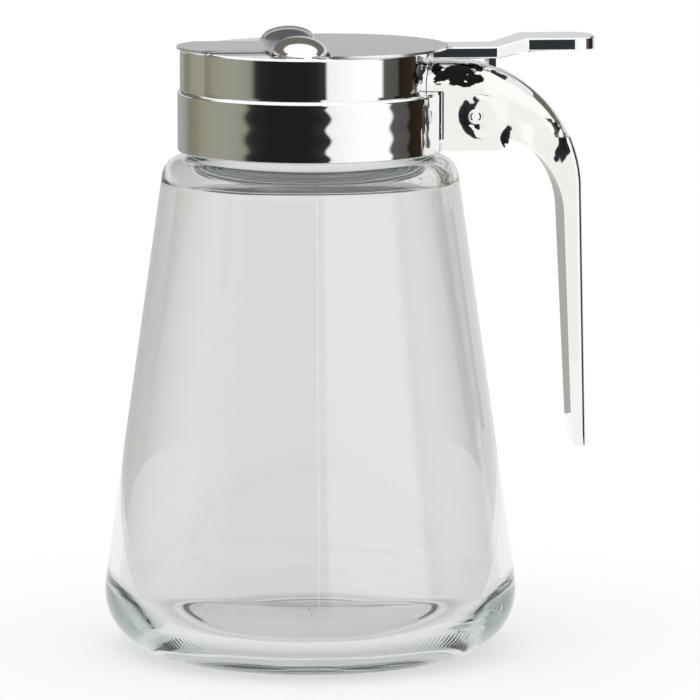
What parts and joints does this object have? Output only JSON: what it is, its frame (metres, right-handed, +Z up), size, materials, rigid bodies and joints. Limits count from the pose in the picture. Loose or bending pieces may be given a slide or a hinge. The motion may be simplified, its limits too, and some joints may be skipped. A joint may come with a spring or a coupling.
{
  "type": "honey dispenser",
  "caption": "Clear glass honey dispenser with a chrome screw cap, a thumb-operated sliding gate over its beak and a long hanging grip.",
  "frame": {"origin": "on the jar's axis, in the plane that its bearing ring stands on", "axes": "+Z up along the jar's axis, +X from the axis towards the handle, with the pouring beak towards -X"},
  "size_m": [0.1078, 0.0908, 0.1367],
  "materials": {
    "clear_glass": "clear, polished",
    "cap_chrome": "bright plated",
    "satin_steel": "satin",
    "lever_chrome": "bright plated",
    "handle_chrome": "bright plated",
    "pin_steel": "bright"
  },
  "bodies": {
    "dispenser": {"glass_jar": "clear_glass", "screw_cap": "cap_chrome", "handle": "handle_chrome", "handle_pin": "pin_steel"},
    "gate": {"gate_plate": "satin_steel", "thumb_lever": "lever_chrome"}
  },
  "joints": [
    {"name": "gate_slide", "type": "slide", "parent": "dispenser", "child": "gate", "axis": [1, 0, 0], "range_m": [0, 0.01], "stiffness_N_per_m": 250, "springref_m": -0.008}
  ]
}
